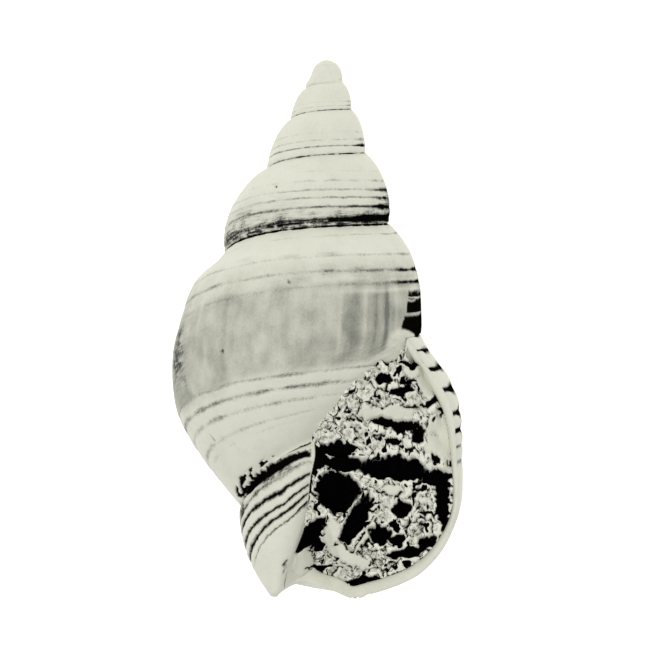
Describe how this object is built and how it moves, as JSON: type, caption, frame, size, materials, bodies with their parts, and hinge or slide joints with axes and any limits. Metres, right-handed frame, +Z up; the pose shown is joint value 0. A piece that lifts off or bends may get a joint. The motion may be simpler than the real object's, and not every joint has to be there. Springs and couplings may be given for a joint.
{
  "type": "fossil whelk shell",
  "caption": "High-spired, right-handed fossil whelk shell lying on its back, mouth up, with rough stone still packed in the mouth.",
  "frame": {"origin": "middle of the underside of the shell's bounding box, on the surface that it lies on", "axes": "+Z up, out of the mouth side; +Y along the shell towards the tip of the spire; +X towards the outer lip"},
  "size_m": [0.0388, 0.0658, 0.0317],
  "materials": {
    "fossil_shell": "matt, chalky, with faint growth lines",
    "shelly_sandstone": "rough, granular and pitted"
  },
  "bodies": {
    "root": {"shell": "fossil_shell", "matrix": "shelly_sandstone"}
  },
  "joints": []
}
